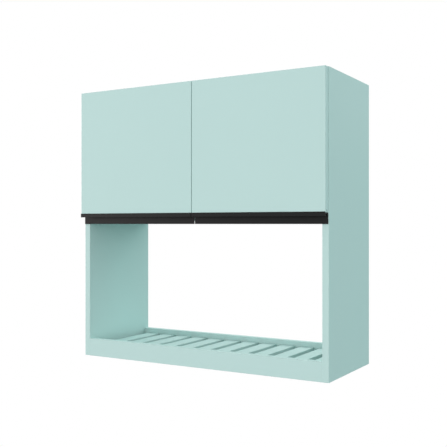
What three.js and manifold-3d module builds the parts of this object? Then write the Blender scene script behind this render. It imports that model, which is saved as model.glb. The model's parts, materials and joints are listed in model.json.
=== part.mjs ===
// A wall-hung dish drying cabinet: a two-door cupboard above an open bay with a slatted rack.
// Sizes are in millimetres, +Z is up and the doors face -Y.
// The origin lies under the middle of the whole cabinet, at the height of its underside.
import * as THREE from "three";
import { RoundedBoxGeometry } from "three/addons/geometries/RoundedBoxGeometry.js";
import { mergeVertices } from "three/addons/utils/BufferGeometryUtils.js";
import Module from "manifold-3d";

const wasm = await Module();
wasm.setup();

// Driving dimensions of the carcass
const cabinetWidth = 800;
const cabinetHeight = 800;
const carcassDepth = 300;
const boardThickness = 18;
const boardEase = 0.5;
const cupboardHeight = 353;

// Clearances
const seatGap = 0.3;
const pivotPlay = 0.3;
const cutOverrun = 1;
const weldTolerance = 0.0005;

// Doors and the profile along each door's lower edge
const doorReveal = 1;
const doorMeetingGap = 2;
const doorStandoff = 1.5;
const doorLift = 1.5;
const doorEase = 0.75;
const handle = {
  drop: 29,
  lipRise: 2.5,
  lipDrop: 9,
  lipProud: 2.5,
  lipWall: 2,
  webWall: 2,
  legWall: 1.5,
  cornerRound: 0.6,
  ribWidth: 2,
  ribHeight: 8,
};
const bumper = { radius: 4, inset: 30, rim: 0.5 };

// Back panel of the cupboard, and the groove that it stands in
const backPanel = { thickness: 3, inset: 18, grooveDepth: 6 };

// Rack: rails across the bay, ledges behind them and slats from front to back
const rack = {
  frontRailHeight: 52,
  rearRailHeight: 50,
  ledgeWidth: 18,
  ledgeHeight: 18,
  slatCount: 12,
  slatWidth: 42,
  slatThickness: 18,
  slatEndGap: 0.5,
  slatRound: 1,
};

// Shelf and its supports
const shelf = { aboveFloor: 171, frontInset: 20, backGap: 2, sideGap: 1 };
const support = {
  pegRadius: 2.5,
  pegLength: 8,
  holeDepth: 10,
  collarRadius: 4,
  collarLength: 1.5,
  tongueLength: 9,
  tongueWidth: 12,
  tongueThickness: 2.5,
  fromFront: 60,
  fromBack: 48,
  holePitch: 32,
};

// Wall hangers in the upper rear corners
const hanger = {
  bodyWidth: 14,
  bodyDepth: 48,
  bodyHeight: 56,
  bodyRound: 5,
  topGap: 4,
  hookThickness: 3,
  hookHeight: 13,
  hookDrop: 14,
  hookBelowTop: 26,
  throat: 7,
  tipWidth: 6,
  wallGap: 2,
  tail: 30,
  tipRound: 2,
  notchSpare: 3,
};

// Concealed hinge, in plan: x runs in from the side panel's inner face, y from the carcass front to the wall
const hinge = {
  endDistance: 70,
  cupRadius: 17.5,
  cupWall: 0.9,
  cupDepth: 12.5,
  cupFloor: 0.7,
  cupCentre: 5.5,
  flangeThickness: 0.6,
  flangeHeight: 62,
  flangeWidth: 38,
  flangeRound: 9,
  screwHoleRadius: 2.1,
  screwHoleSpan: 48,
  screwHoleOffset: 6,
  bossHalf: 3.2,
  bossInside: 5.5,
  bossOutside: 12,
  armPivotOuter: [16.6, -3.8],
  armPivotInner: [21.5, 12.4],
  cupPivot: [-3, -7],
  outerBend: [1.9, -12],
  innerBend: [19.2, -6.9],
  innerEnd: [-6, -2.9],
  linkThickness: 1.6,
  outerPinRadius: 1,
  innerPinRadius: 1.2,
  cupPinRadius: 1,
  innerHalf: 3.2,
  outerInside: 3.6,
  outerOutside: 5.1,
  armInside: 5.4,
  armOutside: 6.6,
  outerEyeRadius: 2.4,
  innerEyeRadius: 2.6,
  cupEyeRadius: 1.85,
  endEyeRadius: 1.6,
  endEyeHole: 0.8,
};
const arm = {
  webWall: 1.4,
  noseRadius: 2.6,
  noseFront: 1.5,
  shoulder: 3.4,
  webStart: 16,
  crankEnd: 25,
  lowTop: 11.7,
  heel: 2.4,
  rear: 60,
  holeRadius: 2.3,
  adjustHoleFromCrank: 7,
  fixingHoleFromRear: 10,
};
const plate = {
  thickness: 2,
  wingHalf: 24,
  wingFront: 31,
  wingBack: 43,
  bodyFront: 27,
  bodyBack: 63,
  bodyHalf: 5,
  bodyHeight: 8,
  baseHalf: 9,
  round: 3,
  screwHoleRadius: 2.6,
  screwHoleSpan: 32,
};

// Smoothness of round forms
const cupSides = 40;
const eyeSides = 16;
const pinSides = 10;
const cornerSteps = 3;

// Heights and depths that several pieces share
const innerWidth = cabinetWidth - 2 * boardThickness;
const cupboardTop = cabinetHeight - boardThickness;
const cupboardFloorTop = cupboardTop - cupboardHeight;
const cupboardFloorUnder = cupboardFloorTop - boardThickness;
const shelfUnder = cupboardFloorTop + shelf.aboveFloor;
const grooveWidth = backPanel.thickness + 2 * seatGap;
const grooveBack = carcassDepth - backPanel.inset;
const grooveFront = grooveBack - grooveWidth;
const doorBack = -doorStandoff;
const doorFront = doorBack - boardThickness;
const doorBottom = cupboardFloorTop + doorLift;
const doorTop = cabinetHeight - doorReveal;
const doorFreeEdge = (cabinetWidth - doorMeetingGap) / 2;
const doorProud = -doorFront + handle.lipProud;

const point = (x, y, z) => new THREE.Vector3(x, y, z);

// A mesh as a solid that can be joined and cut.
function solidOf(geometry) {
  const bare = geometry.index ? geometry.toNonIndexed() : geometry.clone();
  bare.deleteAttribute("normal");
  bare.deleteAttribute("uv");
  const merged = mergeVertices(bare, weldTolerance);
  const vertProperties = merged.attributes.position.array;
  const triVerts = new Uint32Array(merged.index.array);
  return new wasm.Manifold(new wasm.Mesh({ numProp: 3, vertProperties, triVerts }));
}

function geometryOf(solid) {
  const mesh = solid.getMesh();
  const geometry = new THREE.BufferGeometry();
  geometry.setAttribute("position", new THREE.BufferAttribute(mesh.vertProperties, mesh.numProp));
  geometry.setIndex(new THREE.BufferAttribute(mesh.triVerts, 1));
  return geometry;
}

function cut(body, tools) {
  return geometryOf(tools.reduce((rest, tool) => rest.subtract(solidOf(tool)), solidOf(body)));
}

function join(pieces) {
  return geometryOf(pieces.map(solidOf).reduce((whole, next) => whole.add(next)));
}

// A board between two opposite corners, with its edges eased.
function board(low, high, ease = boardEase) {
  const size = high.clone().sub(low);
  const middle = low.clone().add(high).multiplyScalar(0.5);
  return new RoundedBoxGeometry(size.x, size.y, size.z, 1, ease).translate(middle.x, middle.y, middle.z);
}

// A sharp box between two opposite corners, for grooves and plain metal.
function block(low, high) {
  const size = high.clone().sub(low);
  const middle = low.clone().add(high).multiplyScalar(0.5);
  return new THREE.BoxGeometry(size.x, size.y, size.z).translate(middle.x, middle.y, middle.z);
}

// An outline drawn in plan (x, y), raised between two heights.
function raise(outline, low, high) {
  const options = { depth: high - low, bevelEnabled: false, curveSegments: cornerSteps };
  return new THREE.ExtrudeGeometry(outline, options).translate(0, 0, low);
}

// An outline drawn in the side view (y, z), drawn out along x.
function drawAcross(outline, left, right) {
  const turn = new THREE.Matrix4().makeBasis(point(0, 1, 0), point(0, 0, 1), point(1, 0, 0));
  return raise(outline, left, right).applyMatrix4(turn);
}

// An outline drawn in the front view (x, z), drawn out along y.
function drawBack(outline, front, back) {
  const turn = new THREE.Matrix4().makeBasis(point(1, 0, 0), point(0, 0, 1), point(0, -1, 0));
  return raise(outline, -back, -front).applyMatrix4(turn);
}

// A closed outline through corners [x, y], each rounded by its own radius or by the one given for all.
function rounded(corners, radius) {
  const outline = new THREE.Shape();
  corners.forEach(([x, y, own], index) => {
    const here = new THREE.Vector2(x, y);
    const before = corners[(index + corners.length - 1) % corners.length];
    const after = corners[(index + 1) % corners.length];
    const reach = own ?? radius;
    const towards = (corner) =>
      new THREE.Vector2(corner[0], corner[1]).sub(here).setLength(reach).add(here);
    const start = towards(before);
    const end = towards(after);
    if (index === 0) outline.moveTo(start.x, start.y);
    else outline.lineTo(start.x, start.y);
    if (reach > 0) outline.quadraticCurveTo(here.x, here.y, end.x, end.y);
  });
  outline.closePath();
  return outline;
}

function rectangle(left, right, low, high, radius) {
  const corners = [
    [left, low],
    [right, low],
    [right, high],
    [left, high],
  ];
  return rounded(corners, radius);
}

// An upright round bar or hole about a plan point [x, y].
function post([x, y], radius, low, high, sides = eyeSides) {
  const bar = new THREE.CylinderGeometry(radius, radius, high - low, sides);
  return bar.rotateX(Math.PI / 2).translate(x, y, (low + high) / 2);
}

// A round bar or hole along x about a point [y, z] of the side view.
function barAcross([y, z], radius, left, right) {
  const bar = new THREE.CylinderGeometry(radius, radius, right - left, pinSides).rotateZ(Math.PI / 2);
  return bar.translate((left + right) / 2, y, z);
}

// A round bar or hole along y about a point [x, z] of the front view.
function barBack([x, z], radius, front, back) {
  const bar = new THREE.CylinderGeometry(radius, radius, back - front, pinSides);
  return bar.translate(x, (front + back) / 2, z);
}

// A flat bar on edge between two plan points, rounded at both ends.
function strap([ax, ay], [bx, by], thickness, low, high) {
  const heading = Math.atan2(by - ay, bx - ax);
  const outline = new THREE.Shape();
  outline.absarc(bx, by, thickness / 2, heading - Math.PI / 2, heading + Math.PI / 2, false);
  outline.absarc(ax, ay, thickness / 2, heading + Math.PI / 2, heading + (3 * Math.PI) / 2, false);
  outline.closePath();
  return raise(outline, low, high);
}

// Surfaces seen in the photo, one material for each mesh
const finishes = {
  board: { color: 0xbddad5, roughness: 0.5, metalness: 0 },
  profile: { color: 0x333533, roughness: 0.4, metalness: 0.7 },
  steel: { color: 0xb4b6b4, roughness: 0.3, metalness: 1 },
  plastic: { color: 0xe6e6e2, roughness: 0.5, metalness: 0 },
  rubber: { color: 0xd8dcd8, roughness: 0.6, metalness: 0 },
};

function piece(name, geometry, finish) {
  const mesh = new THREE.Mesh(geometry, new THREE.MeshStandardMaterial(finishes[finish]));
  mesh.name = name;
  return mesh;
}

// Carcass boards

function sidePanel(side) {
  const panel = board(point(0, 0, 0), point(boardThickness, carcassDepth, cabinetHeight));
  const grooveLow = point(
    boardThickness - backPanel.grooveDepth,
    grooveFront,
    cupboardFloorTop - backPanel.grooveDepth,
  );
  const grooveHigh = point(boardThickness + cutOverrun, grooveBack, cupboardTop + backPanel.grooveDepth);
  const cuts = [block(grooveLow, grooveHigh)];
  for (const line of supportLines())
    for (const step of [-1, 0, 1])
      cuts.push(supportHole(line, supportHeight() + step * support.holePitch));
  return piece(`${side}_side_panel`, cut(panel, cuts), "board");
}

function topPanel() {
  const low = point(-innerWidth / 2, 0, cupboardTop);
  const high = point(innerWidth / 2, carcassDepth, cabinetHeight);
  const grooveLow = point(low.x - cutOverrun, grooveFront, cupboardTop - cutOverrun);
  const grooveHigh = point(high.x + cutOverrun, grooveBack, cupboardTop + backPanel.grooveDepth);
  return piece("top_panel", cut(board(low, high), [block(grooveLow, grooveHigh)]), "board");
}

function cupboardFloor() {
  const low = point(-innerWidth / 2, 0, cupboardFloorUnder);
  const high = point(innerWidth / 2, carcassDepth, cupboardFloorTop);
  const grooveLow = point(low.x - cutOverrun, grooveFront, cupboardFloorTop - backPanel.grooveDepth);
  const grooveHigh = point(high.x + cutOverrun, grooveBack, cupboardFloorTop + cutOverrun);
  return piece("cupboard_floor", cut(board(low, high), [block(grooveLow, grooveHigh)]), "board");
}

// The back panel stands in the groove on all four sides and is notched for the hangers' hooks.
function cupboardBack() {
  const edge = backPanel.grooveDepth - seatGap;
  const reach = innerWidth / 2 + edge;
  const low = point(-reach, grooveFront + seatGap, cupboardFloorTop - edge);
  const high = point(reach, grooveBack - seatGap, cupboardTop + edge);
  const notchWidth = backPanel.grooveDepth + hanger.bodyWidth / 2 + hanger.hookThickness + hanger.notchSpare;
  const notchFloor = hookTop() - hanger.hookHeight - hanger.notchSpare;
  const notches = [-1, 1].map((way) => {
    const outer = way * (reach + cutOverrun);
    const inner = way * (reach - notchWidth);
    return block(
      point(Math.min(outer, inner), low.y - cutOverrun, notchFloor),
      point(Math.max(outer, inner), high.y + cutOverrun, high.z + cutOverrun),
    );
  });
  return piece("back_panel", cut(block(low, high), notches), "board");
}

// Shelf and its supports

const supportHeight = () => shelfUnder - support.tongueThickness - support.pegRadius;
const supportLines = () => [support.fromFront, grooveFront - support.fromBack];

function supportHole(line, height) {
  const bottom = boardThickness - support.holeDepth;
  return barAcross([line, height], support.pegRadius + seatGap, bottom, boardThickness + cutOverrun);
}

function shelfBoard() {
  const reach = innerWidth / 2 - shelf.sideGap;
  const low = point(-reach, shelf.frontInset, shelfUnder);
  const high = point(reach, grooveFront - shelf.backGap, shelfUnder + boardThickness);
  return piece("inner_shelf", board(low, high), "board");
}

// A peg in the panel's hole, a collar against the panel and a flat tongue under the shelf.
function shelfSupport(side, end, line) {
  const height = supportHeight();
  const pegTip = boardThickness - support.pegLength;
  const collarFoot = boardThickness + seatGap;
  const collarFace = collarFoot + support.collarLength;
  const profile = [
    [0, pegTip],
    [support.pegRadius, pegTip],
    [support.pegRadius, collarFoot],
    [support.collarRadius, collarFoot],
    [support.collarRadius, collarFace],
    [0, collarFace],
  ].map(([radius, along]) => new THREE.Vector2(radius, along));
  const peg = new THREE.LatheGeometry(profile, pinSides).rotateZ(-Math.PI / 2).translate(0, line, height);
  const tongueLow = shelfUnder - support.tongueThickness;
  const tongue = raise(
    rectangle(
      collarFoot,
      collarFace + support.tongueLength,
      line - support.tongueWidth / 2,
      line + support.tongueWidth / 2,
      support.collarLength,
    ),
    tongueLow,
    shelfUnder,
  );
  const stem = block(
    point(collarFoot, line - support.pegRadius, height),
    point(collarFace, line + support.pegRadius, tongueLow + support.tongueThickness / 2),
  );
  return piece(`${side}_${end}_shelf_support`, join([peg, stem, tongue]), "steel");
}

// Wall hangers: a housing on the side panel and a steel hook that reaches through the back panel's notch

const hookTop = () => cupboardTop - hanger.hookBelowTop;
const hookLeft = () => boardThickness + hanger.bodyWidth / 2;

function hangerBody(side) {
  const back = grooveFront;
  const top = cupboardTop - hanger.topGap;
  const outline = rectangle(back - hanger.bodyDepth, back, top - hanger.bodyHeight, top, hanger.bodyRound);
  const body = drawAcross(outline, boardThickness, boardThickness + hanger.bodyWidth);
  const slot = block(
    point(hookLeft() - seatGap, back - hanger.tail - seatGap, hookTop() - hanger.hookHeight - seatGap),
    point(hookLeft() + hanger.hookThickness + seatGap, back + cutOverrun, hookTop() + seatGap),
  );
  return piece(`${side}_hanger_body`, cut(body, [slot]), "plastic");
}

function hangerHook(side) {
  const tail = grooveFront - hanger.tail;
  const tip = carcassDepth - hanger.wallGap;
  const throatBack = tip - hanger.tipWidth;
  const throatFront = throatBack - hanger.throat;
  const top = hookTop();
  const under = top - hanger.hookHeight;
  const corners = [
    [tail, under, 0],
    [throatFront, under, hanger.tipRound],
    [throatFront, top - hanger.tipWidth, hanger.tipRound],
    [throatBack, top - hanger.tipWidth, hanger.tipRound],
    [throatBack, under - hanger.hookDrop + hanger.hookHeight, hanger.tipRound],
    [tip, under - hanger.hookDrop + hanger.hookHeight, hanger.tipRound],
    [tip, top, hanger.tipWidth],
    [tail, top, 0],
  ];
  const hook = drawAcross(rounded(corners, 0), hookLeft(), hookLeft() + hanger.hookThickness);
  return piece(`${side}_hanger_hook`, hook, "steel");
}

// Rack

function rail(name, front, height) {
  const low = point(-innerWidth / 2, front, 0);
  const high = point(innerWidth / 2, front + boardThickness, height);
  return piece(name, board(low, high), "board");
}

function ledge(name, front) {
  const low = point(-innerWidth / 2, front, 0);
  const high = point(innerWidth / 2, front + rack.ledgeWidth, rack.ledgeHeight);
  return piece(name, board(low, high), "board");
}

function slats() {
  const gap = (innerWidth - rack.slatCount * rack.slatWidth) / (rack.slatCount + 1);
  const front = boardThickness + rack.slatEndGap;
  const back = carcassDepth - boardThickness - rack.slatEndGap;
  return Array.from({ length: rack.slatCount }, (_, index) => {
    const left = -innerWidth / 2 + gap + index * (rack.slatWidth + gap);
    const low = point(left, front, rack.ledgeHeight);
    const high = point(left + rack.slatWidth, back, rack.ledgeHeight + rack.slatThickness);
    const name = `slat_${String(index + 1).padStart(2, "0")}`;
    return piece(name, board(low, high, rack.slatRound), "board");
  });
}

// Doors, with the bores for the hinge cups and the kerf for the profile's rib

const hingeHeights = () => [
  ["lower", doorBottom + hinge.endDistance],
  ["upper", doorTop - hinge.endDistance],
];

function doorPanel(side) {
  const low = point(doorReveal, doorFront, doorBottom);
  const high = point(doorFreeEdge, doorBack, doorTop);
  const boreRadius = hinge.cupRadius + seatGap;
  const boreLength = hinge.cupDepth + seatGap + cutOverrun;
  const cuts = hingeHeights().map(([, height]) => {
    const bore = new THREE.CylinderGeometry(boreRadius, boreRadius, boreLength, cupSides);
    return bore.translate(boardThickness + hinge.cupCentre, doorBack + cutOverrun - boreLength / 2, height);
  });
  const middle = (doorFront + doorBack) / 2;
  const kerfHalf = handle.ribWidth / 2 + seatGap;
  cuts.push(
    block(
      point(low.x - cutOverrun, middle - kerfHalf, low.z - cutOverrun),
      point(high.x + cutOverrun, middle + kerfHalf, low.z + handle.ribHeight + seatGap),
    ),
  );
  return piece(`${side}_door`, cut(board(low, high, doorEase), cuts), "board");
}

// The profile: a web under the door, a lip that laps the door's face, a leg behind the finger space
// and a rib that sits in the door's kerf.
function handleProfile(side) {
  const webTop = doorBottom;
  const webUnder = webTop - handle.webWall;
  const lipFront = doorFront - handle.lipProud;
  const lipBack = lipFront + handle.lipWall;
  const lipTop = webTop + handle.lipRise;
  const lipLow = webTop - handle.lipDrop;
  const legLow = webTop - handle.drop;
  const legFront = doorBack - handle.legWall;
  const lapBack = doorFront - seatGap;
  const round = handle.cornerRound;
  const corners = [
    [lipFront, lipTop, round],
    [lipFront, lipLow, round],
    [lipBack, lipLow, round],
    [lipBack, webUnder, round],
    [legFront, webUnder, round],
    [legFront, legLow, round],
    [doorBack, legLow, round],
    [doorBack, webTop, 0],
    [(doorFront + doorBack + handle.ribWidth) / 2, webTop, 0],
    [(doorFront + doorBack + handle.ribWidth) / 2, webTop + handle.ribHeight, round],
    [(doorFront + doorBack - handle.ribWidth) / 2, webTop + handle.ribHeight, round],
    [(doorFront + doorBack - handle.ribWidth) / 2, webTop, 0],
    [lapBack, webTop, 0],
    [lapBack, lipTop, round],
  ];
  const profile = drawAcross(rounded(corners, 0), doorReveal, doorFreeEdge);
  return piece(`${side}_handle_profile`, profile, "profile");
}

// A soft dome that meets the carcass front when the door shuts.
function doorBumper(side, end, height) {
  const rise = doorStandoff - seatGap;
  const profile = [
    [0, 0],
    [bumper.radius, 0],
    [bumper.radius, rise - bumper.rim],
    [bumper.radius - bumper.rim, rise],
    [0, rise],
  ].map(([radius, along]) => new THREE.Vector2(radius, along));
  const dome = new THREE.LatheGeometry(profile, eyeSides);
  dome.translate(doorFreeEdge - bumper.inset, doorBack, height);
  return piece(`${side}_${end}_bumper`, dome, "rubber");
}

// Concealed hinges, drawn from the side panel's inner face at no height and then lifted to their place

// A round cup with a flat, screwed flange on the door's back, and two bosses that carry its pin.
function hingeCup() {
  const centre = hinge.cupCentre;
  const inner = hinge.cupRadius - hinge.cupWall;
  const flangeTop = doorBack + hinge.flangeThickness;
  const cupBottom = doorBack - hinge.cupDepth;
  const shell = new THREE.CylinderGeometry(hinge.cupRadius, hinge.cupRadius, flangeTop - cupBottom, cupSides);
  shell.translate(centre, (flangeTop + cupBottom) / 2, 0);
  const flange = drawBack(
    rectangle(
      centre - hinge.cupRadius,
      centre - hinge.cupRadius + hinge.flangeWidth,
      -hinge.flangeHeight / 2,
      hinge.flangeHeight / 2,
      hinge.flangeRound,
    ),
    doorBack,
    flangeTop,
  );
  const floor = cupBottom + hinge.cupFloor;
  const hollowTop = flangeTop + cutOverrun;
  const hollow = new THREE.CylinderGeometry(inner, inner, hollowTop - floor, cupSides);
  hollow.translate(centre, (hollowTop + floor) / 2, 0);
  const screwHoles = [-1, 1].map((way) => {
    const place = [centre + hinge.screwHoleOffset, (way * hinge.screwHoleSpan) / 2];
    return barBack(place, hinge.screwHoleRadius, doorBack - cutOverrun, hollowTop);
  });
  const [pinX, pinY] = hinge.cupPivot;
  const bosses = [
    [-hinge.bossOutside, -hinge.bossInside],
    [hinge.bossInside, hinge.bossOutside],
  ].map(([low, high]) =>
    block(
      point(pinX - hinge.bossHalf, floor - hinge.cupFloor / 2, low),
      point(pinX + hinge.bossHalf, pinY + hinge.bossHalf, high),
    ),
  );
  const pin = post(hinge.cupPivot, hinge.cupPinRadius, -hinge.bossOutside, hinge.bossOutside, pinSides);
  const hollowed = cut(join([shell, flange]), [hollow, ...screwHoles]);
  return join([hollowed, ...bosses, pin]);
}

// Two cheeks from the arm to the bend, joined by a full-width web from the bend to the cup's pin.
function outerLink() {
  const { outerInside: inside, outerOutside: outside, linkThickness: wall } = hinge;
  const layers = [
    [inside, outside],
    [-outside, -inside],
  ];
  const cheeks = layers.flatMap(([low, high]) => [
    strap(hinge.armPivotOuter, hinge.outerBend, wall, low, high),
    post(hinge.armPivotOuter, hinge.outerEyeRadius, low, high),
  ]);
  const web = strap(hinge.outerBend, hinge.cupPivot, wall, -outside, outside);
  const eye = post(hinge.cupPivot, hinge.cupEyeRadius, -outside, outside);
  const reach = outside + cutOverrun;
  return cut(join([...cheeks, web, eye]), [
    post(hinge.armPivotOuter, hinge.outerPinRadius + pivotPlay, -reach, reach, pinSides),
    post(hinge.cupPivot, hinge.cupPinRadius + pivotPlay, -reach, reach, pinSides),
  ]);
}

// A cranked bar between the outer link's cheeks, whose far eye runs free in the cup.
function innerLink() {
  const half = hinge.innerHalf;
  const bars = [
    strap(hinge.armPivotInner, hinge.innerBend, hinge.linkThickness, -half, half),
    strap(hinge.innerBend, hinge.innerEnd, hinge.linkThickness, -half, half),
    post(hinge.armPivotInner, hinge.innerEyeRadius, -half, half),
    post(hinge.innerEnd, hinge.endEyeRadius, -half, half),
  ];
  const reach = half + cutOverrun;
  return cut(join(bars), [
    post(hinge.armPivotInner, hinge.innerPinRadius + pivotPlay, -reach, reach, pinSides),
    post(hinge.innerEnd, hinge.endEyeHole, -reach, reach, pinSides),
  ]);
}

// A folded arm: two cheeks that hold both pins in front and straddle the plate behind, joined by a web
// with the holes of the adjusting screw and the fixing screw.
function hingeArm() {
  const [noseX, noseY] = hinge.armPivotOuter;
  const [backX, backY] = hinge.armPivotInner;
  const high = backX + arm.shoulder;
  const corners = [
    [noseX - arm.noseRadius, noseY - arm.noseRadius, arm.noseRadius],
    [noseX + arm.noseRadius, noseY - arm.noseRadius, arm.noseRadius],
    [noseX + arm.noseRadius, arm.noseFront, arm.webWall],
    [high, backY - arm.shoulder, arm.noseRadius],
    [high, arm.webStart, 0],
    [arm.lowTop, arm.crankEnd, 0],
    [arm.lowTop, arm.rear, arm.webWall],
    [arm.heel, arm.rear, arm.webWall],
    [arm.heel, arm.noseFront, arm.noseRadius],
    [noseX - arm.noseRadius, arm.noseFront - arm.noseRadius, 0],
  ];
  const outline = rounded(corners, 0);
  const cheeks = [
    raise(outline, hinge.armInside, hinge.armOutside),
    raise(outline, -hinge.armOutside, -hinge.armInside),
  ];
  const slope = strap(
    [high - arm.webWall / 2, arm.webStart + arm.webWall / 2],
    [arm.lowTop - arm.webWall / 2, arm.crankEnd],
    arm.webWall,
    -hinge.armOutside,
    hinge.armOutside,
  );
  const back = block(
    point(arm.lowTop - arm.webWall, arm.crankEnd, -hinge.armOutside),
    point(arm.lowTop, arm.rear, hinge.armOutside),
  );
  const pins = [
    post(hinge.armPivotOuter, hinge.outerPinRadius, -hinge.armOutside, hinge.armOutside, pinSides),
    post(hinge.armPivotInner, hinge.innerPinRadius, -hinge.armOutside, hinge.armOutside, pinSides),
  ];
  const holes = [arm.crankEnd + arm.adjustHoleFromCrank, arm.rear - arm.fixingHoleFromRear].map((line) =>
    barAcross([line, 0], arm.holeRadius, arm.lowTop - arm.webWall - cutOverrun, arm.lowTop + cutOverrun),
  );
  return cut(join([...cheeks, slope, back, ...pins]), holes);
}

// A winged plate, screwed to the side panel, with the raised rib that the arm straddles.
function hingePlate() {
  const top = plate.thickness;
  const wings = rectangle(plate.wingFront, plate.wingBack, -plate.wingHalf, plate.wingHalf, plate.round);
  const base = rectangle(plate.bodyFront, plate.bodyBack, -plate.baseHalf, plate.baseHalf, plate.round);
  const rib = block(
    point(plate.thickness / 2, plate.bodyFront + plate.round, -plate.bodyHalf),
    point(plate.bodyHeight, plate.bodyBack - plate.round, plate.bodyHalf),
  );
  const line = (plate.wingFront + plate.wingBack) / 2;
  const screwHoles = [-1, 1].map((way) =>
    barAcross([line, (way * plate.screwHoleSpan) / 2], plate.screwHoleRadius, -cutOverrun, top + cutOverrun),
  );
  return cut(join([drawAcross(wings, 0, top), drawAcross(base, 0, top), rib]), screwHoles);
}

function hingePieces(side, end, height) {
  const parts = {
    hinge_plate: hingePlate,
    hinge_arm: hingeArm,
    outer_link: outerLink,
    inner_link: innerLink,
    hinge_cup: hingeCup,
  };
  return Object.entries(parts).map(([kind, make]) => {
    const mesh = piece(`${side}_${end}_${kind}`, make(), "steel");
    mesh.position.set(boardThickness, 0, height);
    return mesh;
  });
}

// Everything that comes in pairs, drawn for the left and mirrored for the right
function sideGroup(side) {
  const group = new THREE.Group();
  group.add(
    sidePanel(side),
    doorPanel(side),
    handleProfile(side),
    doorBumper(side, "upper", cabinetHeight - boardThickness / 2),
    doorBumper(side, "lower", cupboardFloorTop - boardThickness / 2),
    ...["front", "rear"].map((end, index) => shelfSupport(side, end, supportLines()[index])),
    hangerBody(side),
    hangerHook(side),
    ...hingeHeights().flatMap(([end, height]) => hingePieces(side, end, height)),
  );
  const hand = side === "left" ? 1 : -1;
  group.scale.x = hand;
  group.position.x = (-hand * cabinetWidth) / 2;
  return group;
}

const cabinet = new THREE.Group();
cabinet.add(
  sideGroup("left"),
  sideGroup("right"),
  topPanel(),
  cupboardFloor(),
  cupboardBack(),
  shelfBoard(),
  rail("front_rail", 0, rack.frontRailHeight),
  rail("rear_rail", carcassDepth - boardThickness, rack.rearRailHeight),
  ledge("front_slat_ledge", boardThickness),
  ledge("rear_slat_ledge", carcassDepth - boardThickness - rack.ledgeWidth),
  ...slats(),
);
cabinet.position.y = (doorProud - carcassDepth) / 2;

const dishDryingCabinet = new THREE.Group();
dishDryingCabinet.add(cabinet);

export default dishDryingCabinet;
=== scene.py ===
import json
import math

import bmesh
import bpy
from mathutils import Matrix, Vector


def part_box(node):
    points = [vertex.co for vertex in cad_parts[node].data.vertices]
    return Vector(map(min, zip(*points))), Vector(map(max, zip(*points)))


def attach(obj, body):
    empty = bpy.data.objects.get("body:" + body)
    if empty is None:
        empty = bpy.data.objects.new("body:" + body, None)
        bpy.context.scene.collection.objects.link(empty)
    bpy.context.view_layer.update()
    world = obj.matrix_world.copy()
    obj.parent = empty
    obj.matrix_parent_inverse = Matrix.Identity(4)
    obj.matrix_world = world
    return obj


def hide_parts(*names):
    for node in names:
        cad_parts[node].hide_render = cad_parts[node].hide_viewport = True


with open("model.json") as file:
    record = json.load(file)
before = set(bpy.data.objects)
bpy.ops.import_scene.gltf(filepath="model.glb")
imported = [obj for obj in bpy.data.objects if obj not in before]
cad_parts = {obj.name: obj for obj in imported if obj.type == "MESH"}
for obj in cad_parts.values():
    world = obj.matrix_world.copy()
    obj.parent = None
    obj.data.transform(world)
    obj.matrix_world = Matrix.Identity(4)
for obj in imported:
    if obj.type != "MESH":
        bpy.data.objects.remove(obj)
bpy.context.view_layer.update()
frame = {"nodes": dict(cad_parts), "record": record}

# Dish drying cabinet. Metres, +Z up, doors towards -Y, wall towards +Y.
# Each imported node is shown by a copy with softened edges, or by a dome if it is a bumper.
# Screws and rivet heads are added.

nodes = frame["nodes"]
scene = bpy.context.scene
mm = 0.001
mergeDistance = 0.001 * mm
print("frame loaded:", len(nodes), "nodes")

# Helpers for meshes


def meshObject(name, shape):
    data = bpy.data.meshes.new(name)
    shape.to_mesh(data)
    shape.free()
    thing = bpy.data.objects.new(name, data)
    scene.collection.objects.link(thing)
    return thing


def spun(profile, steps):
    # (radius, height) points turned about Z, from axis to axis
    shape = bmesh.new()
    verts = [shape.verts.new((radius, 0, height)) for radius, height in profile]
    edges = [shape.edges.new(pair) for pair in zip(verts, verts[1:])]
    bmesh.ops.spin(
        shape,
        geom=verts + edges,
        cent=(0, 0, 0),
        axis=(0, 0, 1),
        angle=math.tau,
        steps=steps,
        use_merge=True,
    )
    bmesh.ops.remove_doubles(shape, verts=shape.verts, dist=mergeDistance)
    bmesh.ops.recalc_face_normals(shape, faces=shape.faces)
    return shape


def carved(shape, cutter):
    # the shape with the cutter's form taken out, as mesh data
    body = meshObject("carvedBody", shape)
    tool = meshObject("carvingTool", cutter)
    cut = body.modifiers.new("cut", "BOOLEAN")
    cut.operation = "DIFFERENCE"
    cut.solver = "EXACT"
    cut.object = tool
    ready = body.evaluated_get(bpy.context.evaluated_depsgraph_get())
    data = bpy.data.meshes.new_from_object(ready)
    for thing in (body, tool):
        bpy.data.objects.remove(thing)
    return data


def scattered(name, template, spots):
    # copies of one mesh at (place, direction of its +Z, turn in degrees)
    shape = bmesh.new()
    for place, direction, turn in spots:
        single = template.copy()
        facing = Vector(direction).to_track_quat("Z", "Y").to_matrix().to_4x4()
        turned = Matrix.Rotation(math.radians(turn), 4, "Z")
        single.transform(Matrix.Translation(place) @ facing @ turned)
        shape.from_mesh(single)
        bpy.data.meshes.remove(single)
    return meshObject(name, shape)


# Helpers for node trees


def feed(tree, term, socket):
    if isinstance(term, bpy.types.NodeSocket):
        tree.links.new(term, socket)
    else:
        socket.default_value = term


def calc(tree, operation, *terms):
    node = tree.nodes.new("ShaderNodeMath")
    node.operation = operation
    for socket, term in zip(node.inputs, terms):
        feed(tree, term, socket)
    return node.outputs["Value"]


def vectorCalc(tree, operation, *terms):
    node = tree.nodes.new("ShaderNodeVectorMath")
    node.operation = operation
    for socket, term in zip(node.inputs, terms):
        feed(tree, term, socket)
    return node.outputs["Value" if operation in ("LENGTH", "DOT_PRODUCT") else "Vector"]


def scaled(tree, vector, factor):
    node = tree.nodes.new("ShaderNodeVectorMath")
    node.operation = "SCALE"
    feed(tree, vector, node.inputs[0])
    feed(tree, factor, node.inputs["Scale"])
    return node.outputs["Vector"]


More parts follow.
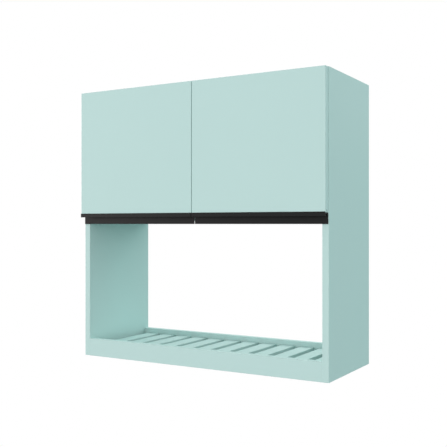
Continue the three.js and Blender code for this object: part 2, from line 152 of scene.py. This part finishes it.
def splitUp(tree, vector):
    node = tree.nodes.new("ShaderNodeSeparateXYZ")
    tree.links.new(vector, node.inputs[0])
    return node.outputs


def remap(tree, value, fromLow, fromHigh, toLow, toHigh, style="LINEAR"):
    node = tree.nodes.new("ShaderNodeMapRange")
    node.interpolation_type = style
    for socket, term in zip(node.inputs, (value, fromLow, fromHigh, toLow, toHigh)):
        feed(tree, term, socket)
    return node.outputs["Result"]


def blendColour(tree, share, first, second):
    node = tree.nodes.new("ShaderNodeMix")
    node.data_type = "RGBA"
    feed(tree, share, node.inputs["Factor"])
    feed(tree, first, node.inputs[6])  # the colours come after the numbers and vectors
    feed(tree, second, node.inputs[7])
    return node.outputs[2]


def noise(tree, place, scale, detail=2.0, roughness=0.5, distortion=0.0):
    node = tree.nodes.new("ShaderNodeTexNoise")
    feed(tree, place, node.inputs["Vector"])
    node.inputs["Scale"].default_value = scale
    node.inputs["Detail"].default_value = detail
    node.inputs["Roughness"].default_value = roughness
    node.inputs["Distortion"].default_value = distortion
    return node.outputs["Fac"]


def fromCellCentre(tree, place, scale):
    node = tree.nodes.new("ShaderNodeTexVoronoi")
    feed(tree, place, node.inputs["Vector"])
    node.inputs["Scale"].default_value = scale
    return node.outputs["Distance"]


def newGroup(name, inputs, outputs):
    # inputs as (label, socket type, value), outputs as (label, socket type)
    tree = bpy.data.node_groups.new(name, "ShaderNodeTree")
    for label, kind, value in inputs:
        socket = tree.interface.new_socket(name=label, in_out="INPUT", socket_type=kind)
        socket.default_value = value
    for label, kind in outputs:
        tree.interface.new_socket(name=label, in_out="OUTPUT", socket_type=kind)
    given = tree.nodes.new("NodeGroupInput").outputs
    result = tree.nodes.new("NodeGroupOutput").inputs
    return tree, given, result


def useGroup(tree, group, **values):
    node = tree.nodes.new("ShaderNodeGroup")
    node.node_tree = group
    for label, value in values.items():
        feed(tree, value, node.inputs[label])
    return node.outputs


def objectPlace(tree):
    return tree.nodes.new("ShaderNodeTexCoord").outputs["Object"]


def newMaterial(name):
    made = bpy.data.materials.new(name)
    made.use_nodes = True
    tree = made.node_tree
    shader = next(node for node in tree.nodes if node.type == "BSDF_PRINCIPLED")
    return made, tree, shader


def bump(tree, height, shader, distance, strength):
    node = tree.nodes.new("ShaderNodeBump")
    node.inputs["Distance"].default_value = distance
    node.inputs["Strength"].default_value = strength
    tree.links.new(height, node.inputs["Height"])
    tree.links.new(node.outputs["Normal"], shader.inputs["Normal"])


# Shared effect: a board's arrises, lightened by wear and by a painted highlight, its edge band's joint,
# and its core in bores and grooves

boardMarks = {
    "coreDepth": (0.6 * mm, 1.2 * mm),  # under the board's faces, from lacquer to bare core
    "jointWidth": (0.06 * mm, 0.22 * mm),  # from the line's full strength to none
    "jointDepth": (0.2 * mm, 0.4 * mm),  # the line lies on the broad faces only
    "farAway": 10.0,  # metres, takes the thin direction out of the search for the rim
}


def boardEdgesGroup():
    tree, given, result = newGroup(
        "boardEdges",
        [
            ("Centre", "NodeSocketVector", (0, 0, 0)),
            ("Half", "NodeSocketVector", (1, 1, 1)),
            ("Thin", "NodeSocketVector", (0, 0, 1)),  # the axis that the board is thin along
            ("Wear", "NodeSocketFloat", 1 * mm),
            ("Band", "NodeSocketFloat", 1 * mm),
        ],
        [("Edge", "NodeSocketFloat"), ("Joint", "NodeSocketFloat"), ("Core", "NodeSocketFloat")],
    )
    offset = vectorCalc(tree, "SUBTRACT", objectPlace(tree), given["Centre"])
    inward = vectorCalc(tree, "SUBTRACT", given["Half"], vectorCalc(tree, "ABSOLUTE", offset))
    x, y, z = splitUp(tree, inward)
    low = calc(tree, "MINIMUM", x, y)
    high = calc(tree, "MAXIMUM", x, y)
    nearest = calc(tree, "MINIMUM", low, z)
    second = calc(tree, "MAXIMUM", low, calc(tree, "MINIMUM", high, z))
    # near the arrises: the mask for the wear and the painted highlight
    tree.links.new(remap(tree, second, 0, given["Wear"], 1, 0, "SMOOTHSTEP"), result["Edge"])
    tree.links.new(remap(tree, nearest, *boardMarks["coreDepth"], 0, 1), result["Core"])
    depth = vectorCalc(tree, "DOT_PRODUCT", inward, given["Thin"])
    pushedOut = scaled(tree, given["Thin"], boardMarks["farAway"])
    across = splitUp(tree, vectorCalc(tree, "ADD", inward, pushedOut))
    rim = calc(tree, "MINIMUM", calc(tree, "MINIMUM", across[0], across[1]), across[2])
    away = calc(tree, "ABSOLUTE", calc(tree, "SUBTRACT", rim, given["Band"]))
    line = remap(tree, away, *boardMarks["jointWidth"], 1, 0)
    onFace = remap(tree, depth, *boardMarks["jointDepth"], 1, 0)
    tree.links.new(calc(tree, "MULTIPLY", line, onFace), result["Joint"])
    return tree


# Shared effect: sprayed lacquer, with fine orange peel and faint clouds in colour and gloss

sprayed = {
    "clouds": {"scale": 4.5, "detail": 3},
    "cloudShare": 0.7,
    "specks": {"scale": 260, "detail": 2},
    "speckShare": 0.3,
    "shadeRange": (0.25, 0.75),
    "glossRange": (0.3, 0.7),
    "glossSwing": (-0.04, 0.04),
    "peel": {"scale": 620, "detail": 2, "roughness": 0.55},
}


def lacquerGroup():
    tree, given, result = newGroup(
        "lacquer",
        [
            ("Colour", "NodeSocketColor", (1, 1, 1, 1)),
            ("Cloud", "NodeSocketFloat", 0.02),
            ("Gloss", "NodeSocketFloat", 0.45),
        ],
        [("Colour", "NodeSocketColor"), ("Roughness", "NodeSocketFloat"), ("Height", "NodeSocketFloat")],
    )
    place = objectPlace(tree)
    clouds = noise(tree, place, **sprayed["clouds"])
    specks = noise(tree, place, **sprayed["specks"])
    cloudy = calc(tree, "MULTIPLY", clouds, sprayed["cloudShare"])
    shade = calc(tree, "ADD", cloudy, calc(tree, "MULTIPLY", specks, sprayed["speckShare"]))
    dim = calc(tree, "SUBTRACT", 1, given["Cloud"])
    lit = calc(tree, "ADD", 1, given["Cloud"])
    tone = remap(tree, shade, *sprayed["shadeRange"], dim, lit)
    tree.links.new(scaled(tree, given["Colour"], tone), result["Colour"])
    swing = remap(tree, clouds, *sprayed["glossRange"], *sprayed["glossSwing"])
    tree.links.new(calc(tree, "ADD", given["Gloss"], swing), result["Roughness"])
    tree.links.new(noise(tree, place, **sprayed["peel"]), result["Height"])
    return tree


# Shared effect: what hands and water leave, smears and rings of dried drops

traces = {
    "smears": {"scale": 13, "detail": 4, "roughness": 0.62, "distortion": 1.2},
    "smearRange": (0.52, 0.72),
    "dropScale": 130,
    "ringRadius": 0.24,  # in cells
    "ringWidth": (0.02, 0.07),
    "patches": {"scale": 21, "detail": 2},  # where drops dried
    "patchRange": (0.5, 0.62),
}


def handledGroup():
    tree, given, result = newGroup(
        "handled",
        [("Smears", "NodeSocketFloat", 0.05), ("Drops", "NodeSocketFloat", 0.0)],
        [("Roughness", "NodeSocketFloat")],
    )
    place = objectPlace(tree)
    cloudy = noise(tree, place, **traces["smears"])
    smears = remap(tree, cloudy, *traces["smearRange"], 0, 1, "SMOOTHSTEP")
    fromCentre = fromCellCentre(tree, place, traces["dropScale"])
    fromRing = calc(tree, "ABSOLUTE", calc(tree, "SUBTRACT", fromCentre, traces["ringRadius"]))
    ring = remap(tree, fromRing, *traces["ringWidth"], 1, 0)
    patches = remap(tree, noise(tree, place, **traces["patches"]), *traces["patchRange"], 0, 1)
    drops = calc(tree, "MULTIPLY", calc(tree, "MULTIPLY", ring, patches), given["Drops"])
    total = calc(tree, "ADD", calc(tree, "MULTIPLY", smears, given["Smears"]), drops)
    tree.links.new(total, result["Roughness"])
    return tree


# Shared effect: drawn metal, with fine lines along one axis and cloudy handling marks

drawing = {
    "lines": {"scale": 1, "detail": 3, "roughness": 0.6},
    "lineGloss": 0.6,  # the lines' part in the gloss
    "marks": {"scale": 55, "detail": 3, "roughness": 0.6},
    "markRange": (0.35, 0.75),
    "markGloss": (-0.02, 0.06),
}


def drawnMetalGroup():
    tree, given, result = newGroup(
        "drawnMetal",
        [
            ("Stretch", "NodeSocketVector", (1, 1, 1)),
            ("Lines", "NodeSocketFloat", 0.08),
            ("Gloss", "NodeSocketFloat", 0.3),
        ],
        [("Tone", "NodeSocketFloat"), ("Roughness", "NodeSocketFloat"), ("Height", "NodeSocketFloat")],
    )
    place = objectPlace(tree)
    stretched = vectorCalc(tree, "MULTIPLY", place, given["Stretch"])
    lines = noise(tree, stretched, **drawing["lines"])
    marks = noise(tree, place, **drawing["marks"])
    spread = calc(tree, "MULTIPLY", calc(tree, "SUBTRACT", lines, 0.5), given["Lines"])
    tree.links.new(calc(tree, "ADD", 1, spread), result["Tone"])
    rough = calc(tree, "ADD", given["Gloss"], calc(tree, "MULTIPLY", spread, drawing["lineGloss"]))
    rubbed = remap(tree, marks, *drawing["markRange"], *drawing["markGloss"])
    tree.links.new(calc(tree, "ADD", rough, rubbed), result["Roughness"])
    tree.links.new(lines, result["Height"])
    return tree


boardEdges = boardEdgesGroup()
lacquer = lacquerGroup()
handled = handledGroup()
drawnMetal = drawnMetalGroup()

# Boards: mint lacquer on particle board, with edge bands, bores and grooves

mint = {
    "colour": (0.469, 0.664, 0.639, 1),
    "cloud": 0.012,
    "gloss": 0.6,
    "specular": 0.12,
    "peelDepth": 0.03 * mm,
    "peelStrength": 0.5,
    # the arris colour, lighter than the lacquer: partly wear, partly a painted highlight
    "edge": (0.56, 0.74, 0.71, 1),
    "wearAndHighlightWidth": 1.1 * mm,  # how far the wear and the painted highlight reach, from the arris inwards
    "wearAndHighlightPatches": {"scale": 38, "detail": 4, "roughness": 0.6},
    "wearAndHighlightRange": (0.42, 0.68),
    "wearAndHighlightShare": (0.15, 0.75),
    "joint": (0.33, 0.49, 0.46, 1),
    "jointShare": 0.5,
    "band": 1.0 * mm,  # the edge band's thickness
    "smears": 0.05,
    "drops": 0.12,  # only on the rack
}
core = {
    "colour": (0.42, 0.30, 0.18),
    "chips": {"scale": 420, "detail": 3, "roughness": 0.65},
    "chipRange": (0.3, 0.7),
    "chipTone": (0.45, 1.25),
    "rougher": 0.35,
}
hardboard = {
    "colour": (0.29, 0.20, 0.125),
    "bareDepth": (0.4 * mm, 0.8 * mm),  # behind its front face, from lacquer to bare fibre
    "fibres": {"scale": 1100, "detail": 3, "roughness": 0.6},
    "fibreShare": 0.6,
    "clouds": {"scale": 9, "detail": 3},
    "cloudShare": 0.4,
    "fibreRange": (0.35, 0.65),
    "fibreTone": (0.88, 1.1),
    "rougher": 0.3,
}


def mintCoat(tree):
    return useGroup(tree, lacquer, Colour=mint["colour"], Cloud=mint["cloud"], Gloss=mint["gloss"])


def finishLacquered(tree, shader, colour, rough, coat):
    tree.links.new(colour, shader.inputs["Base Color"])
    tree.links.new(rough, shader.inputs["Roughness"])
    shader.inputs["Specular IOR Level"].default_value = mint["specular"]
    bump(tree, coat["Height"], shader, mint["peelDepth"], mint["peelStrength"])


def boardMaterial(name, low, high, drops):
    made, tree, shader = newMaterial(name)
    place = objectPlace(tree)
    half = (high - low) / 2
    thinnest = min(range(3), key=lambda axis: half[axis])
    spot = useGroup(
        tree,
        boardEdges,
        Centre=(low + high) / 2,
        Half=half,
        Thin=[float(axis == thinnest) for axis in range(3)],
        Wear=mint["wearAndHighlightWidth"],
        Band=mint["band"],
    )
    coat = mintCoat(tree)
    marks = useGroup(tree, handled, Smears=mint["smears"], Drops=drops)
    patches = noise(tree, place, **mint["wearAndHighlightPatches"])
    patchy = remap(tree, patches, *mint["wearAndHighlightRange"], *mint["wearAndHighlightShare"])
    edgeWearAndHighlight = calc(tree, "MULTIPLY", spot["Edge"], patchy)
    jointed = calc(tree, "MULTIPLY", spot["Joint"], mint["jointShare"])
    chips = remap(tree, noise(tree, place, **core["chips"]), *core["chipRange"], *core["chipTone"])
    # arrises lightened in patches: partly wear, partly a painted highlight
    colour = blendColour(tree, edgeWearAndHighlight, coat["Colour"], mint["edge"])
    colour = blendColour(tree, jointed, colour, mint["joint"])
    colour = blendColour(tree, spot["Core"], colour, scaled(tree, core["colour"], chips))
    rough = calc(tree, "ADD", coat["Roughness"], calc(tree, "MULTIPLY", spot["Core"], core["rougher"]))
    finishLacquered(tree, shader, colour, calc(tree, "ADD", rough, marks["Roughness"]), coat)
    return made


def hardboardMaterial(name, low):
    # lacquered towards the cupboard, bare fibre towards the wall
    made, tree, shader = newMaterial(name)
    place = objectPlace(tree)
    coat = mintCoat(tree)
    bareFrom, bareTo = [low.y + depth for depth in hardboard["bareDepth"]]
    bare = remap(tree, splitUp(tree, place)["Y"], bareFrom, bareTo, 0, 1)
    fine = calc(tree, "MULTIPLY", noise(tree, place, **hardboard["fibres"]), hardboard["fibreShare"])
    cloudy = calc(tree, "MULTIPLY", noise(tree, place, **hardboard["clouds"]), hardboard["cloudShare"])
    fibre = calc(tree, "ADD", fine, cloudy)
    tone = remap(tree, fibre, *hardboard["fibreRange"], *hardboard["fibreTone"])
    colour = blendColour(tree, bare, coat["Colour"], scaled(tree, hardboard["colour"], tone))
    rough = calc(tree, "ADD", coat["Roughness"], calc(tree, "MULTIPLY", bare, hardboard["rougher"]))
    finishLacquered(tree, shader, colour, rough, coat)
    return made


# Metal, plastic and rubber

profileFinish = {  # black anodised
    "colour": (0.009, 0.010, 0.010),
    "gloss": 0.36,
    "lines": 0.35,
    "stretch": (3, 900, 900),
    "lineDepth": 0.01 * mm,
    "lineStrength": 0.4,
    "metallic": 0.0,
    "specular": 0.13,
}
nickel = {
    "colour": (0.62, 0.61, 0.59),
    "gloss": 0.27,
    "lines": 0.10,
    "stretch": (240, 240, 30),
    "lineDepth": 0.01 * mm,
    "lineStrength": 0.4,
    "metallic": 1.0,
    "specular": 0.5,
}
plastic = {
    "colour": (0.80, 0.80, 0.77, 1),
    "cloud": 0.02,
    "gloss": 0.5,
    "grain": {"scale": 1400, "detail": 2},
    "grainDepth": 0.04 * mm,
    "grainStrength": 0.5,
}
rubber = {
    "colour": (0.70, 0.73, 0.71, 1),
    "cloud": 0.02,
    "gloss": 0.32,
    "grain": {"scale": 500, "detail": 2},
    "grainDepth": 0.04 * mm,
    "grainStrength": 0.5,
}


def metalMaterial(name, finish):
    made, tree, shader = newMaterial(name)
    drawn = useGroup(
        tree, drawnMetal, Stretch=finish["stretch"], Lines=finish["lines"], Gloss=finish["gloss"]
    )
    tree.links.new(scaled(tree, finish["colour"], drawn["Tone"]), shader.inputs["Base Color"])
    tree.links.new(drawn["Roughness"], shader.inputs["Roughness"])
    shader.inputs["Metallic"].default_value = finish["metallic"]
    shader.inputs["Specular IOR Level"].default_value = finish["specular"]
    bump(tree, drawn["Height"], shader, finish["lineDepth"], finish["lineStrength"])
    return made


def mouldedMaterial(name, finish):
    made, tree, shader = newMaterial(name)
    coat = useGroup(tree, lacquer, Colour=finish["colour"], Cloud=finish["cloud"], Gloss=finish["gloss"])
    tree.links.new(coat["Colour"], shader.inputs["Base Color"])
    tree.links.new(coat["Roughness"], shader.inputs["Roughness"])
    grain = noise(tree, objectPlace(tree), **finish["grain"])
    bump(tree, grain, shader, finish["grainDepth"], finish["grainStrength"])
    return made


finishes = {
    "black_profile": metalMaterial("blackProfile", profileFinish),
    "plated_steel": metalMaterial("nickelPlate", nickel),
    "hanger_plastic": mouldedMaterial("hangerPlastic", plastic),
    "bumper_rubber": mouldedMaterial("bumperRubber", rubber),
}
print("materials ready")

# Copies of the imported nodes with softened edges

softening = {
    "widths": {  # by material slot
        "mint_board": 0.18 * mm,
        "black_profile": 0.15 * mm,
        "plated_steel": 0.12 * mm,
        "hanger_plastic": 0.5 * mm,
    },
    "segments": 2,
    "sharperThan": 40,  # degrees, edges that are rounded
    "flatWithin": 0.5,  # degrees, faces that are joined
}
bodies = frame["record"]["behaviour"]["bodies"]
bodyOf = {node: body for body, members in bodies.items() for node in members}
slotOf = {row["node"]: row["material_slot"] for row in frame["record"]["subparts"]}


def addPiece(thing, made, body):
    thing.data.materials.clear()
    thing.data.materials.append(made)
    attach(thing, body)


def softenEdges(thing, width):
    # rounds the sharp edges, and shades the broad faces flat
    thing.data.shade_smooth()
    edge = thing.modifiers.new("edges", "BEVEL")
    edge.width = width
    edge.segments = softening["segments"]
    edge.limit_method = "ANGLE"
    edge.angle_limit = math.radians(softening["sharperThan"])
    flat = thing.modifiers.new("flats", "WEIGHTED_NORMAL")
    flat.mode = "FACE_AREA"
    flat.weight = 100


def boardFinish(node):
    low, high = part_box(node)
    if node == "back_panel":
        return hardboardMaterial(node, low)
    wet = node.startswith("slat") or node.endswith("rail")
    return boardMaterial(node, low, high, mint["drops"] if wet else 0.0)


def addFinishedCopy(node, slot):
    # merges the node's loose triangles and joins its flat faces, then softens the edges
    shape = bmesh.new()
    shape.from_mesh(nodes[node].data)
    flatWithin = math.radians(softening["flatWithin"])
    bmesh.ops.remove_doubles(shape, verts=shape.verts, dist=mergeDistance)
    bmesh.ops.dissolve_limit(shape, angle_limit=flatWithin, verts=shape.verts, edges=shape.edges)
    bmesh.ops.connect_verts_concave(shape, faces=shape.faces)
    thing = meshObject(f"{node}_finished", shape)
    softenEdges(thing, softening["widths"][slot])
    made = boardFinish(node) if slot == "mint_board" else finishes[slot]
    addPiece(thing, made, bodyOf[node])
    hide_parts(node)


for node, slot in slotOf.items():
    if slot in softening["widths"]:
        addFinishedCopy(node, slot)
print("boards, profiles and fittings finished")

# Door bumpers: soft frosted domes with a foot

dome = {"steps": 32, "footShare": 0.18, "rimShare": 0.93, "ringSteps": 6}


def addBumper(node):
    low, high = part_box(node)
    radius = (high.x - low.x) / 2
    rise = high.y - low.y
    foot = rise * dome["footShare"]
    rim = radius * dome["rimShare"]
    arc = [math.pi / 2 * step / dome["ringSteps"] for step in range(dome["ringSteps"])]
    crown = [(rim * math.cos(angle), foot + (rise - foot) * math.sin(angle)) for angle in arc]
    shape = spun([(0, 0), (radius, 0), (radius, foot), *crown, (0, rise)], dome["steps"])
    seat = Vector(((low.x + high.x) / 2, low.y, (low.z + high.z) / 2))
    lying = Matrix.Rotation(-math.pi / 2, 4, "X")
    bmesh.ops.transform(shape, verts=shape.verts, matrix=Matrix.Translation(seat) @ lying)
    thing = meshObject(f"{node}_dome", shape)
    thing.data.shade_smooth()
    addPiece(thing, finishes["bumper_rubber"], bodyOf[node])
    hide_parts(node)


for node, slot in slotOf.items():
    if slot == "bumper_rubber":
        addBumper(node)
print("bumpers added")

# Fasteners: cross-recessed screws and rivet heads

panScrew = {"radius": 3.5 * mm, "height": 2.1 * mm, "shank": 1.7 * mm, "length": 2.0 * mm, "steps": 32}
raisedScrew = {"radius": 3.3 * mm, "height": 1.0 * mm, "shank": 1.6 * mm, "length": 2.0 * mm, "steps": 32}
setScrew = {"radius": 2.1 * mm, "height": 0.6 * mm, "shank": 2.1 * mm, "length": 4.0 * mm, "steps": 24}
rivet = {"radius": 2.0 * mm, "height": 0.55 * mm, "shank": 1.0 * mm, "length": 0.2 * mm, "steps": 24}
headSharpAngle = 35  # degrees, edges that stay sharp in the shading
# the head's outline from its seat to its top, as shares of its radius and height
headCrown = [(1, 0), (1, 0.3), (0.93, 0.62), (0.75, 0.84), (0.45, 0.97), (0, 1)]
recess = {
    "widthShare": 0.24,  # of the head's radius, as the next two are
    "armShare": 1.1,
    "depthShare": 0.75,
    "footShare": 0.5,  # how much of the opening is left at the bottom
}


def headShape(kind):
    # a shank below the seat and a crowned head above it
    shank = [(0, -kind["length"]), (kind["shank"], -kind["length"]), (kind["shank"], 0)]
    crown = [(wide * kind["radius"], high * kind["height"]) for wide, high in headCrown]
    return spun(shank + crown, kind["steps"])


def recessShape(kind):
    # a plus that narrows downwards: a square whose sides are drawn out
    wide = kind["radius"] * recess["widthShare"]
    arm = kind["radius"] * recess["armShare"]
    deep = kind["radius"] * recess["depthShare"]
    shape = bmesh.new()
    bmesh.ops.create_cube(shape, size=1)
    bmesh.ops.scale(shape, verts=shape.verts, vec=(wide, wide, 2 * deep))
    shape.normal_update()
    for side in [face for face in shape.faces if abs(face.normal.z) < 0.5]:
        outward = side.normal.copy()
        drawn = bmesh.ops.extrude_discrete_faces(shape, faces=[side])["faces"][0]
        bmesh.ops.translate(shape, verts=drawn.verts, vec=outward * (arm - wide) / 2)
    low = [vert for vert in shape.verts if vert.co.z < 0]
    share = recess["footShare"]
    bmesh.ops.scale(shape, verts=low, vec=(share, share, 1))
    bmesh.ops.translate(shape, verts=shape.verts, vec=(0, 0, kind["height"]))
    bmesh.ops.recalc_face_normals(shape, faces=shape.faces)
    return shape


def screwMesh(kind):
    return carved(headShape(kind), recessShape(kind))


def rivetMesh(kind):
    shape = headShape(kind)
    data = bpy.data.meshes.new("rivet")
    shape.to_mesh(data)
    shape.free()
    return data


def addFasteners(name, template, spots, body):
    thing = scattered(name, template, spots)
    thing.data.shade_smooth()
    thing.data.set_sharp_from_angle(angle=math.radians(headSharpAngle))
    addPiece(thing, finishes["plated_steel"], body)


panHead = screwMesh(panScrew)
raisedHead = screwMesh(raisedScrew)
setHead = screwMesh(setScrew)
rivetHead = rivetMesh(rivet)

# Hinge fasteners: x from the side panel's inner face, y from the carcass front, turns in degrees

hingeSpots = {
    "cup": {"x": 11.5 * mm, "y": -0.9 * mm, "span": 48 * mm, "turns": (25, 75)},
    "plate": {"x": 2.0 * mm, "y": 37 * mm, "span": 32 * mm, "turns": (10, 45)},
    "adjusting": {"x": 11.3 * mm, "y": 32 * mm, "turn": 20},
    "fixing": {"x": 11.7 * mm, "y": 50 * mm, "turn": 65},
    "rivets": [{"x": 16.6 * mm, "y": -3.8 * mm}, {"x": 21.5 * mm, "y": 12.4 * mm}],
    "cheek": 6.6 * mm,  # from the hinge's middle to the arm's outer faces
}


def addHingeFasteners(side, end):
    hand = 1 if side == "left" else -1
    low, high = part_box(f"{side}_{end}_hinge_plate")
    inner = low.x if hand > 0 else high.x
    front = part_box(f"{side}_side_panel")[0].y
    height = (low.z + high.z) / 2
    inwards = (hand, 0, 0)
    backwards = (0, 1, 0)

    def placed(spot, z=0.0):
        return Vector((inner + hand * spot["x"], front + spot["y"], height + z))

    def single(spot, direction):
        return [(placed(spot), direction, spot["turn"])]

    def pair(spot, direction):
        ways = zip((-1, 1), spot["turns"])
        return [(placed(spot, way * spot["span"] / 2), direction, turn) for way, turn in ways]

    def heads(spot):
        return [(placed(spot, way * hingeSpots["cheek"]), (0, 0, way), 0) for way in (-1, 1)]

    cup = pair(hingeSpots["cup"], backwards)
    plate = pair(hingeSpots["plate"], inwards)
    adjusting = single(hingeSpots["adjusting"], inwards)
    fixing = single(hingeSpots["fixing"], inwards)
    rivets = [head for spot in hingeSpots["rivets"] for head in heads(spot)]
    addFasteners(f"{side}_{end}_cup_screws", raisedHead, cup, f"{side}_door_leaf")
    addFasteners(f"{side}_{end}_plate_screws", panHead, plate, "carcass")
    addFasteners(f"{side}_{end}_adjusting_screw", setHead, adjusting, "carcass")
    addFasteners(f"{side}_{end}_fixing_screw", panHead, fixing, "carcass")
    addFasteners(f"{side}_{end}_rivet_heads", rivetHead, rivets, "carcass")


for side in ("left", "right"):
    for end in ("lower", "upper"):
        addHingeFasteners(side, end)

# Hanger screws: two adjusters in the housing's front, two fixing screws in its side

hangerSpots = {
    "adjusters": {"heightShares": (0.28, 0.72), "proud": 0.1 * mm, "turn": 15},
    "fixings": {"heightShares": (0.16, 0.84), "fromFront": 9 * mm, "turn": 40},
    "turnPerMetre": 999,  # degrees, so that each screw stops at its own angle
}


def addHangerScrews(side):
    hand = 1 if side == "left" else -1
    low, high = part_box(f"{side}_hanger_body")

    def rising(spot, x, y, direction):
        heights = [low.z + (high.z - low.z) * share for share in spot["heightShares"]]
        turns = [spot["turn"] + z * hangerSpots["turnPerMetre"] for z in heights]
        return [(Vector((x, y, z)), direction, turn) for z, turn in zip(heights, turns)]

    adjusters = hangerSpots["adjusters"]
    fixings = hangerSpots["fixings"]
    face = high.x if hand > 0 else low.x
    inFront = rising(adjusters, (low.x + high.x) / 2, low.y - adjusters["proud"], (0, -1, 0))
    inSide = rising(fixings, face, low.y + fixings["fromFront"], (hand, 0, 0))
    addFasteners(f"{side}_hanger_adjusters", setHead, inFront, "carcass")
    addFasteners(f"{side}_hanger_screws", raisedHead, inSide, "carcass")


for side in ("left", "right"):
    addHangerScrews(side)

# Slat screws, driven up through the ledges

slatScrews = {"sunk": 0.9 * mm, "turnStep": 29}


def addSlatScrews(ledge):
    low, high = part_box(ledge)
    y = (low.y + high.y) / 2
    z = low.z + slatScrews["sunk"]
    spots = []
    for index, node in enumerate(sorted(node for node in nodes if node.startswith("slat"))):
        left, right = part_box(node)
        place = Vector(((left.x + right.x) / 2, y, z))
        spots.append((place, (0, 0, -1), index * slatScrews["turnStep"]))
    addFasteners(f"{ledge}_screws", raisedHead, spots, "carcass")


for ledge in ("front_slat_ledge", "rear_slat_ledge"):
    addSlatScrews(ledge)
print("fasteners added")

# Camera at the photograph's place: level, from the right and at the height of the rack bay's top

camera = {
    "place": (1.1144, -1.8776, 0.40197),
    "turn": (90, 0, 30.4637),  # degrees
    "lens": 59.44,
    "sensor": 36,
    "shiftY": 0.00079,
    "clipStart": 0.05,
}


def makeCamera():
    data = bpy.data.cameras.new("camera")
    data.sensor_width = camera["sensor"]
    data.lens = camera["lens"]
    data.shift_y = camera["shiftY"]
    data.clip_start = camera["clipStart"]
    thing = bpy.data.objects.new("camera", data)
    thing.location = camera["place"]
    thing.rotation_euler = [math.radians(angle) for angle in camera["turn"]]
    scene.collection.objects.link(thing)
    scene.camera = thing


# Studio: wide soft lamps from the front, one high behind and a weak one at the right

studio = {"aim": (0, 0, 0.4), "away": 4.2, "lampSize": 2.8}
lamps = {
    "front": {"turn": 20, "rise": 0, "power": 65, "colour": (1.0, 0.985, 0.985)},
    "frontLeft": {"turn": -55, "rise": 0, "power": 66, "colour": (1.0, 0.91, 0.91)},
    "rearTop": {"turn": 180, "rise": 30, "power": 102, "colour": (0.92, 1.0, 0.98)},
    "right": {"turn": 120, "rise": 0, "power": 22, "colour": (0.3, 1.0, 1.0)},
}


def makeLamps():
    for name, lamp in lamps.items():
        data = bpy.data.lights.new(name, "AREA")
        data.shape = "SQUARE"
        data.size = studio["lampSize"]
        data.energy = lamp["power"]
        data.color = lamp["colour"]
        thing = bpy.data.objects.new(name, data)
        thing.visible_camera = False
        turn, rise = math.radians(lamp["turn"]), math.radians(lamp["rise"])
        level = math.cos(rise)
        outward = Vector((math.sin(turn) * level, -math.cos(turn) * level, math.sin(rise)))
        thing.location = Vector(studio["aim"]) + outward * studio["away"]
        thing.rotation_euler = outward.to_track_quat("Z", "Y").to_euler()
        scene.collection.objects.link(thing)


# An even world that shows white, and a pale floor that keeps the shadow

world = {"ambient": (0.90, 0.89, 0.90, 1), "background": (1, 1, 1, 1)}
floor = {
    "height": -0.9,  # a wall cabinet hangs well above its floor
    "radius": 14.0,
    "segments": 96,
    "colour": (0.74, 0.74, 0.74, 1),
    "bounce": (0.12, 0.12, 0.12, 1),  # what it throws back on the object, kept low as in the photo
    "fadeStart": 0.9,  # from here outwards the floor turns into the white background
    "fadeEnd": 2.0,
}


def seenByEye(tree):
    # 1 for what the camera, a gloss or a clear material sees, 0 for what lights the object
    path = tree.nodes.new("ShaderNodeLightPath")
    seen = calc(tree, "MAXIMUM", path.outputs["Is Camera Ray"], path.outputs["Is Glossy Ray"])
    return calc(tree, "MAXIMUM", seen, path.outputs["Is Transmission Ray"])


def makeWorld():
    made = bpy.data.worlds.new("studio")
    made.use_nodes = True
    scene.world = made
    tree = made.node_tree
    tree.nodes.clear()
    light = tree.nodes.new("ShaderNodeBackground")
    light.inputs["Color"].default_value = world["ambient"]
    shown = tree.nodes.new("ShaderNodeBackground")
    shown.inputs["Color"].default_value = world["background"]
    mix = tree.nodes.new("ShaderNodeMixShader")
    out = tree.nodes.new("ShaderNodeOutputWorld")
    tree.links.new(seenByEye(tree), mix.inputs["Fac"])
    tree.links.new(light.outputs[0], mix.inputs[1])
    tree.links.new(shown.outputs[0], mix.inputs[2])
    tree.links.new(mix.outputs[0], out.inputs["Surface"])


def floorMaterial():
    made = bpy.data.materials.new("floor")
    made.use_nodes = True
    tree = made.node_tree
    tree.nodes.clear()
    flatPlace = vectorCalc(tree, "MULTIPLY", objectPlace(tree), (1, 1, 0))
    distance = vectorCalc(tree, "LENGTH", flatPlace)
    fade = remap(tree, distance, floor["fadeStart"], floor["fadeEnd"], 0, 1, "SMOOTHSTEP")
    seen = seenByEye(tree)
    lit = tree.nodes.new("ShaderNodeBsdfDiffuse")
    tree.links.new(blendColour(tree, seen, floor["bounce"], floor["colour"]), lit.inputs["Color"])
    white = tree.nodes.new("ShaderNodeEmission")
    mix = tree.nodes.new("ShaderNodeMixShader")
    out = tree.nodes.new("ShaderNodeOutputMaterial")
    tree.links.new(calc(tree, "MULTIPLY", fade, seen), mix.inputs["Fac"])
    tree.links.new(lit.outputs[0], mix.inputs[1])
    tree.links.new(white.outputs[0], mix.inputs[2])
    tree.links.new(mix.outputs[0], out.inputs["Surface"])
    return made


def makeFloor():
    shape = bmesh.new()
    bmesh.ops.create_circle(shape, cap_ends=True, segments=floor["segments"], radius=floor["radius"])
    bmesh.ops.translate(shape, verts=shape.verts, vec=(0, 0, floor["height"]))
    thing = meshObject("floor", shape)
    thing.data.materials.append(floorMaterial())


scene.view_settings.view_transform = "Standard"
makeCamera()
makeLamps()
makeWorld()
makeFloor()
print("studio ready")
